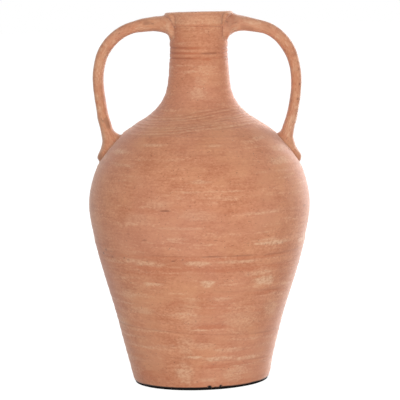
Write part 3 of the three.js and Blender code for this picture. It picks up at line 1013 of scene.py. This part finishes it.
def lower_body():
    """The floor and lower wall, with a rounded corner between them on the inside."""
    outside = wall_run(PAD_THICKNESS, BELLY_JOINT, BODY_STEP)
    inside = inner_run(PAD_THICKNESS, BELLY_JOINT)
    inside = inside[inside[:, 1] > FLOOR_TOP + BODY_WALL]
    wall_reach = inside[-1, 0]
    bend = (wall_reach - 2.6 * MM, FLOOR_TOP + 2.2 * MM)
    floor_edge = (wall_reach - 9 * MM, FLOOR_TOP)
    corner = dense([inside[-1], bend, floor_edge])
    floor = stepped(np.array([floor_edge, (HUB_RADIUS, FLOOR_TOP)]), 5 * MM)
    foot_edge = (outside[0, 0] - 1 * MM, PAD_THICKNESS)
    under = stepped(np.array([(HUB_RADIUS, PAD_THICKNESS), foot_edge]), 6 * MM)
    pole_low, pole_high = np.array([[0, PAD_THICKNESS]]), np.array([[0, FLOOR_TOP]])
    section = joined(
        (pole_low, 0), (under, 0), (outside, 1), (inside, -1), (stepped(corner, 2 * MM)[1:-1], -1),
        (floor, -1), (pole_high, -1),
    )
    vessel_piece("lower_body", section, BODY_SEGMENTS)


def tube(name, low, high, step, segments):
    """A piece of wall that is open at both ends."""
    vessel_piece(name, joined((wall_run(low, high, step), 1), (inner_run(low, high), -1)), segments)


def rim_collar():
    """The collar and lip, whose inside runs straight down from the lip's inner edge."""
    outside = stepped(RIM, LIP_STEP)
    foot_inside = np.array([[COLLAR[0][0] * MM - NECK_WALL, COLLAR_JOINT]])
    down = stepped(np.vstack([outside[-1:], foot_inside]), 2 * MM)[1:]
    vessel_piece("rim_collar", joined((outside, 1), (down, -1)), NECK_SEGMENTS)


def base_pad():
    """A thin disc with a soft rounded edge that wavers a little, as cut by hand."""
    turn = np.linspace(-math.pi / 2, 0, 6)
    middle = PAD_RADIUS - PAD_EDGE
    lower = [(middle + PAD_EDGE * math.cos(t), PAD_EDGE + PAD_EDGE * math.sin(t)) for t in turn]
    upper = [(r, PAD_THICKNESS - z) for r, z in reversed(lower)]
    under = [(r * MM, 0) for r in PAD_RINGS]
    top = [(r * MM, PAD_THICKNESS) for r in reversed(PAD_RINGS)]
    rows = under + lower + upper + top
    angle = np.linspace(-math.pi, math.pi, PAD_SEGMENTS, endpoint=False)
    u = angle / (2 * math.pi)
    wave = 0.25 * MM * waver(u, 0.5, 31, 90) + 0.12 * MM * waver(u, 0.5, 110, 91)
    points = []
    for r, z in rows:
        wide = r + wave * (r > PAD_RINGS[-1] * MM)
        points.append(np.column_stack([wide * np.sin(angle), -wide * np.cos(angle), z + 0 * angle]))
    faces = grid_faces(len(rows), PAD_SEGMENTS, False)
    points = with_poles(np.vstack(points), faces, PAD_SEGMENTS, 0, PAD_THICKNESS)
    new_piece("base_pad", points, faces, {"grain": points.copy()}, PAD)


base_pad()
lower_body()
tube("upper_body", BELLY_JOINT, NECK_JOINT, BODY_STEP, BODY_SEGMENTS)
tube("neck", NECK_JOINT, COLLAR_JOINT, NECK_STEP, NECK_SEGMENTS)
rim_collar()


# ---- floor, light and camera -------------------------------------------------

def studio_floor():
    """A plain pale floor, lit so evenly that it reads as white."""
    mesh = bpy.data.meshes.new("floor")
    corners = [(-1, -1), (1, -1), (1, 1), (-1, 1)]
    points = [(x * FLOOR_HALF_SIZE, y * FLOOR_HALF_SIZE, -FLOOR_DROP) for x, y in corners]
    mesh.from_pydata(points, [], [(0, 1, 2, 3)])
    floor = bpy.data.objects.new("floor", mesh)
    bpy.context.scene.collection.objects.link(floor)
    material = bpy.data.materials.new("floor")
    n = Nodes(material)
    diffuse = n.add("ShaderNodeBsdfDiffuse")
    diffuse.inputs["Color"].default_value = FLOOR_GREY
    glow = n.add("ShaderNodeEmission")
    glow.inputs["Color"].default_value = WHITE
    seen = n.add("ShaderNodeLightPath").outputs["Is Camera Ray"]
    strength = n.maths("MULTIPLY_ADD", seen, FLOOR_SEEN - FLOOR_BOUNCE, FLOOR_BOUNCE)
    n.put(glow.inputs["Strength"], strength)
    n.blended(FLOOR_GLOW, diffuse, glow)
    mesh.materials.append(material)


def studio_world():
    """White to the camera. For everything else a softer light, a little stronger on the right
    and stronger still from behind."""
    world = bpy.data.worlds.new("studio")
    bpy.context.scene.world = world
    n = Nodes(world, "ShaderNodeOutputWorld")
    seen, fill = (n.add("ShaderNodeBackground") for _ in range(2))
    for background in (seen, fill):
        background.inputs["Color"].default_value = WHITE
    split = n.add("ShaderNodeSeparateXYZ")
    n.put(split.inputs[0], n.add("ShaderNodeTexCoord").outputs["Generated"])
    across = n.ranged(split.outputs[0], -1, 1, FILL_LEFT, FILL_RIGHT, "LINEAR")
    behind = n.ranged(split.outputs[1], 0.45, 1, 0, BACKDROP)
    n.put(fill.inputs["Strength"], n.maths("ADD", across, behind))
    n.blended(n.add("ShaderNodeLightPath").outputs["Is Camera Ray"], fill, seen)


def area_light(name, place, target, size, power, colour=(1, 1, 1)):
    """A soft rectangular light at place, turned to target."""
    data = bpy.data.lights.new(name, "AREA")
    data.shape = "RECTANGLE"
    data.size, data.size_y = size
    data.energy = power
    data.color = colour
    light = bpy.data.objects.new(name, data)
    bpy.context.scene.collection.objects.link(light)
    light.location = place
    light.rotation_mode = "QUATERNION"
    light.rotation_quaternion = (Vector(target) - Vector(place)).to_track_quat("-Z", "Y")


area_light("key", (0.3, -2.6, 0.75), (0, 0, 0.2), (1.6, 1.6), 37.5)
area_light("top", (0.1, -0.3, 2.4), (0, 0, 0.3), (1.4, 1.4), 4)
area_light("rim_right", (1.3, 1.75, 0.45), (0.05, 0, 0.25), (0.8, 1.6), 60, (1, 0.97, 0.98))
studio_floor()
studio_world()


def camera():
    """A long lens in front of the pot, looking a little down and rolled slightly."""
    data = bpy.data.cameras.new("camera")
    data.sensor_width = CAMERA_SENSOR
    data.lens = CAMERA_LENS
    data.clip_start, data.clip_end = 0.05, 100
    made = bpy.data.objects.new("camera", data)
    bpy.context.scene.collection.objects.link(made)
    level = Matrix.Rotation(math.pi / 2 - CAMERA_DOWN, 4, "X")
    turn = level @ Matrix.Rotation(CAMERA_ROLL, 4, "Z")
    made.matrix_world = Matrix.Translation(CAMERA_PLACE) @ turn
    bpy.context.scene.camera = made


camera()
bpy.context.scene.view_settings.view_transform = "Standard"
